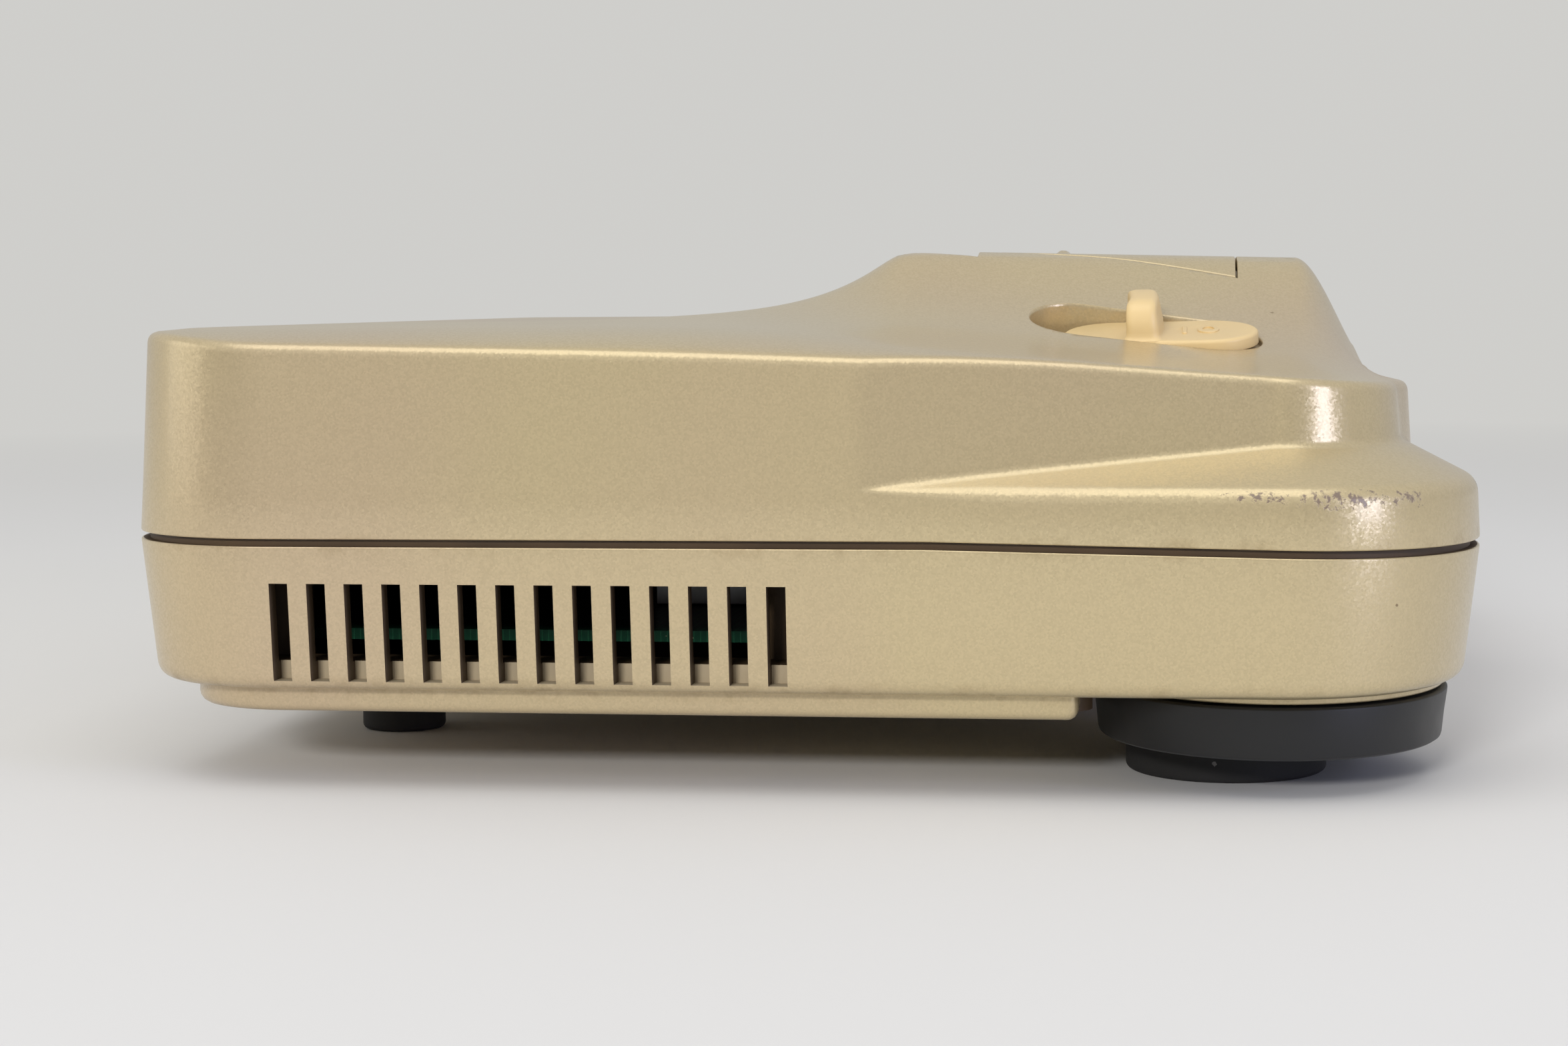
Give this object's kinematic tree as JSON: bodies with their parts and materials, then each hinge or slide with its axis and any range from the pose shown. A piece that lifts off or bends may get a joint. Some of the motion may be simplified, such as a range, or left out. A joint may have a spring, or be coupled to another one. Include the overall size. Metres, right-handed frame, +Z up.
{
  "type": "game console",
  "caption": "Home game console in two moulded case shells with a top cartridge slot, sliding power switch, reset button, front controller ports, side vents and rounded front legs.",
  "frame": {"origin": "on the table under the middle of the case", "axes": "+X to the right seen from the front, +Y to the rear, +Z up"},
  "size_m": [0.26, 0.1899, 0.0743],
  "materials": {
    "gold_case": "metallic gold paint on moulded plastic, satin",
    "ivory_plastic": "satin",
    "black_plastic": "fine grain",
    "rubber": "matt",
    "steel": "bright",
    "tin_plate": "dull tin plate",
    "board": "green solder mask",
    "aluminium": "mill",
    "red_light": "clear red",
    "label": "blank silver label"
  },
  "bodies": {
    "case": {"top_shell": "gold_case", "bottom_shell": "gold_case", "power_switch": "black_plastic", "reset_switch": "black_plastic", "flap_pin_front": "steel", "flap_pin_rear": "steel", "flap_spring_front": "steel", "flap_spring_rear": "steel", "main_board": "board", "port_board": "board", "upper_shield": "tin_plate", "lower_shield": "tin_plate", "heat_spreader": "aluminium", "cartridge_connector": "black_plastic", "memory_connector": "black_plastic", "memory_module": "black_plastic", "controller_port_1": "black_plastic", "controller_port_2": "black_plastic", "controller_port_3": "black_plastic", "controller_port_4": "black_plastic", "light_lens": "red_light", "power_light": "red_light", "av_socket": "black_plastic", "supply_socket": "black_plastic", "expansion_connector": "black_plastic", "rating_plate": "label", "foot_disc_left": "black_plastic", "foot_disc_right": "black_plastic", "front_pad_left": "rubber", "front_pad_right": "rubber", "rear_foot_left": "rubber", "rear_foot_right": "rubber", "case_screw_1": "steel", "case_screw_2": "steel", "case_screw_3": "steel", "case_screw_4": "steel", "case_screw_5": "steel", "case_screw_6": "steel"},
    "slider": {"power_slider": "ivory_plastic"},
    "lever": {"power_switch_lever": "black_plastic"},
    "reset": {"reset_button": "ivory_plastic"},
    "door": {"memory_door": "gold_case"},
    "front_flap": {"slot_flap_front": "black_plastic"},
    "rear_flap": {"slot_flap_rear": "black_plastic"},
    "expansion": {"expansion_cover": "gold_case"}
  },
  "joints": [
    {"name": "power_slide", "type": "slide", "parent": "case", "child": "slider", "axis": [0.0033, 0.9998, -0.0171], "range_m": [0, 0.0044]},
    {"name": "lever_slide", "type": "slide", "parent": "case", "child": "lever", "axis": [0, 1, 0], "range_m": [0, 0.0044]},
    {"name": "reset_press", "type": "slide", "parent": "case", "child": "reset", "axis": [-0.1908, -0.0174, -0.9815], "range_m": [0, 0.0018], "stiffness_N_per_m": 200, "springref_m": -0.002},
    {"name": "door_lift", "type": "slide", "parent": "case", "child": "door", "axis": [0, 0, 1], "range_m": [0, 0.025]},
    {"name": "front_flap_turn", "type": "hinge", "parent": "case", "child": "front_flap", "pos_m": [0, -0.01965, 0.0615], "axis": [1, 0, 0], "range_deg": [-85, 0], "stiffness_Nm_per_rad": 0.01, "springref_deg": 17.19},
    {"name": "rear_flap_turn", "type": "hinge", "parent": "case", "child": "rear_flap", "pos_m": [0, -0.00495, 0.0615], "axis": [1, 0, 0], "range_deg": [0, 85], "stiffness_Nm_per_rad": 0.01, "springref_deg": -17.19},
    {"name": "expansion_drop", "type": "slide", "parent": "case", "child": "expansion", "axis": [0, 0, -1], "range_m": [0, 0.008]}
  ],
  "couplings": [
    {"joint": "lever_slide", "follows": "power_slide", "ratio": 1}
  ]
}
